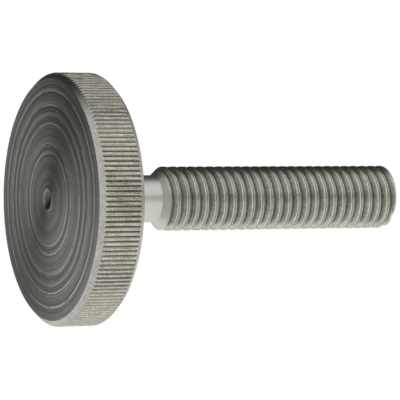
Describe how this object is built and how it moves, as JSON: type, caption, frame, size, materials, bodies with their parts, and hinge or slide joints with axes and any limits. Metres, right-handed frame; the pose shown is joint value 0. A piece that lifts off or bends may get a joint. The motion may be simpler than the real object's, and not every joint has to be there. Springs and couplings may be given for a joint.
{
  "type": "knurled thumb screw",
  "caption": "Flat knurled thumb screw: broad thin head with a straight-knurled rim, a thin plain neck and a metric threaded shank.",
  "frame": {"origin": "middle of the head's outer face, the lowest point as the screw stands on its head", "axes": "+Z along the screw's axis, from the head's outer face to the tip; X and Y are square to it and equal"},
  "size_m": [0.0302, 0.0302, 0.0456],
  "materials": {
    "steel": "bare turned steel, with a rolled knurl and a cut thread"
  },
  "bodies": {
    "root": {"thumb_screw": "steel"}
  },
  "joints": []
}
